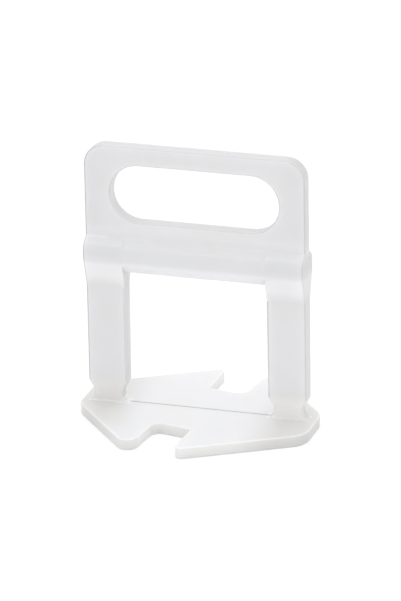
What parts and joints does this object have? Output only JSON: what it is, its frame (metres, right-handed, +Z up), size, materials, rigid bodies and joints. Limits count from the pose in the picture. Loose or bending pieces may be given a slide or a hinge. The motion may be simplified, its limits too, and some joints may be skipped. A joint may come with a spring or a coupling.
{
  "type": "tile levelling clip",
  "caption": "Moulded tile levelling clip: a notched foot lies under the tile edges, slim legs with break-off necks stand in the joint, a thick bar takes a wedge, and the handle above has a slot",
  "frame": {"origin": "middle of the foot's underside, on the floor plane", "axes": "X along the tile joint and the clip's width, Y across the joint, Z up from the foot to the handle"},
  "size_m": [0.043, 0.0372, 0.05],
  "materials": {
    "clip_plastic": "satin, translucent natural white polypropylene"
  },
  "bodies": {
    "root": {"levelling_clip": "clip_plastic"}
  },
  "joints": []
}
